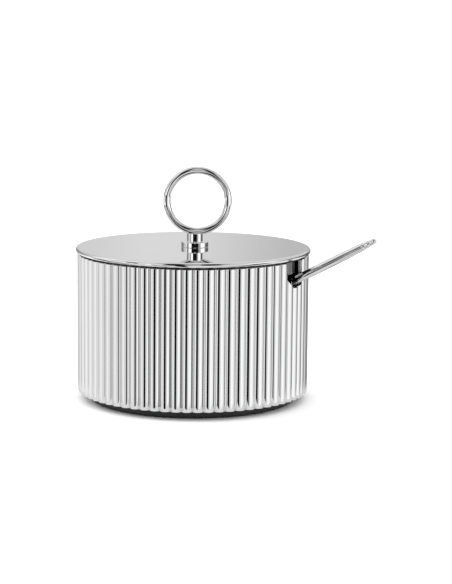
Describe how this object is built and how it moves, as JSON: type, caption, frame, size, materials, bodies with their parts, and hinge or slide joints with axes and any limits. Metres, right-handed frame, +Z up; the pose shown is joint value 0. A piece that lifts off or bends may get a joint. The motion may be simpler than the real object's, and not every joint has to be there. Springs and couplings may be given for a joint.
{
  "type": "sugar bowl",
  "caption": "Round lidded sugar bowl with vertical half-round flutes in polished steel, a flat lid with a ring knob, a black base, and a spoon leaning out of a rim slot.",
  "frame": {"origin": "centre of the foot pad's lower face, on the bowl's axis, at table height", "axes": "+Z up along the bowl's axis; the front is towards -Y; the knob's ring stands in the XZ plane; the spoon leans out between +X and -Y"},
  "size_m": [0.1264, 0.1014, 0.1008],
  "materials": {
    "polished_steel": "mirror polish",
    "satin_steel": "satin",
    "black_plastic": "fine moulded texture",
    "black_rubber": "matt"
  },
  "bodies": {
    "bowl": {"outer_shell": "polished_steel", "inner_liner": "satin_steel", "base_plate": "black_plastic", "foot_pad": "black_rubber"},
    "lid": {"lid_plate": "polished_steel", "lid_collar": "polished_steel", "lid_cushion": "black_rubber", "knob_base": "polished_steel", "knob_ring": "polished_steel", "knob_screw": "satin_steel", "knob_washer": "satin_steel"},
    "spoon": {"spoon_handle": "polished_steel", "spoon_scoop": "polished_steel"}
  },
  "joints": [
    {"name": "lid_lift", "type": "slide", "parent": "bowl", "child": "lid", "axis": [0, 0, 1], "range_m": [0, 0.16]},
    {"name": "spoon_lift", "type": "slide", "parent": "bowl", "child": "spoon", "axis": [0, 0, 1], "range_m": [0, 0.08]}
  ],
  "couplings": [
    {"joint": "spoon_lift", "follows": "lid_lift", "ratio": 0.5}
  ]
}
